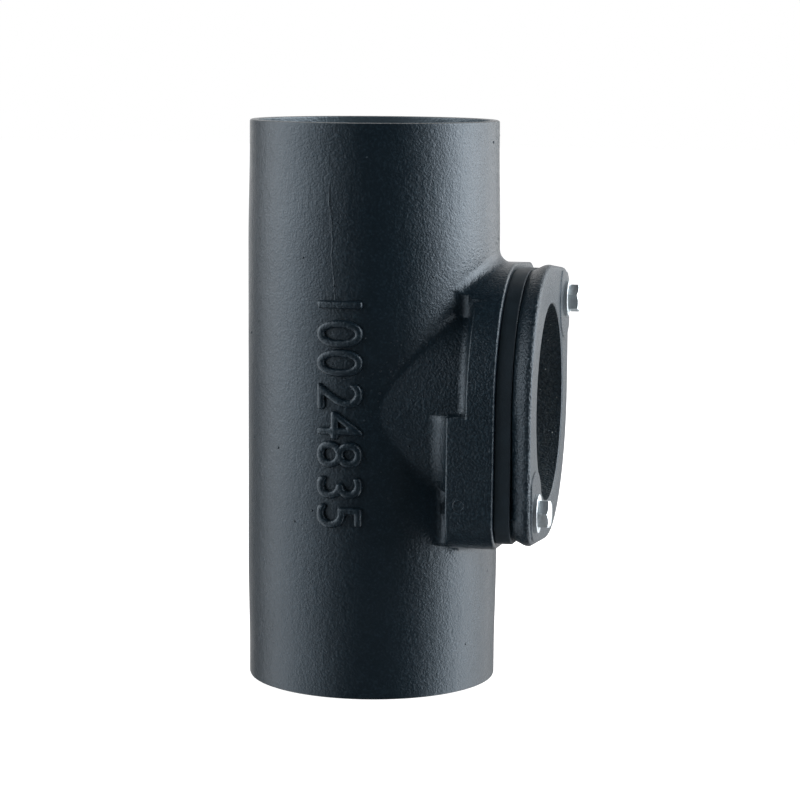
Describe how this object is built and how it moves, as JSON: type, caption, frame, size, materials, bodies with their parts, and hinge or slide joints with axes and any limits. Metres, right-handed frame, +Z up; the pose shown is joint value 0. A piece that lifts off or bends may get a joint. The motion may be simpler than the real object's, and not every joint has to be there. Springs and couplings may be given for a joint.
{
  "type": "soil access pipe",
  "caption": "Short plain-ended cast-iron soil pipe with a round side access door: a dished, diagonally lugged cover bolted over a rubber gasket for rodding the drain.",
  "frame": {"origin": "centre of the pipe's lower end, on its axis", "axes": "+Z up along the pipe axis, +X along the access door's axis, out of the door"},
  "size_m": [0.1421, 0.1248, 0.248],
  "materials": {
    "coated_iron": "dark blue-grey epoxy coat, semi-gloss over a pebbled casting",
    "gasket_rubber": "matt black moulded rubber",
    "bright_steel": "bright plated steel"
  },
  "bodies": {
    "root": {"pipe_body": "coated_iron", "door_gasket": "gasket_rubber", "door_cover": "coated_iron", "upper_washer": "bright_steel", "lower_washer": "bright_steel", "upper_screw": "bright_steel", "lower_screw": "bright_steel"}
  },
  "joints": []
}
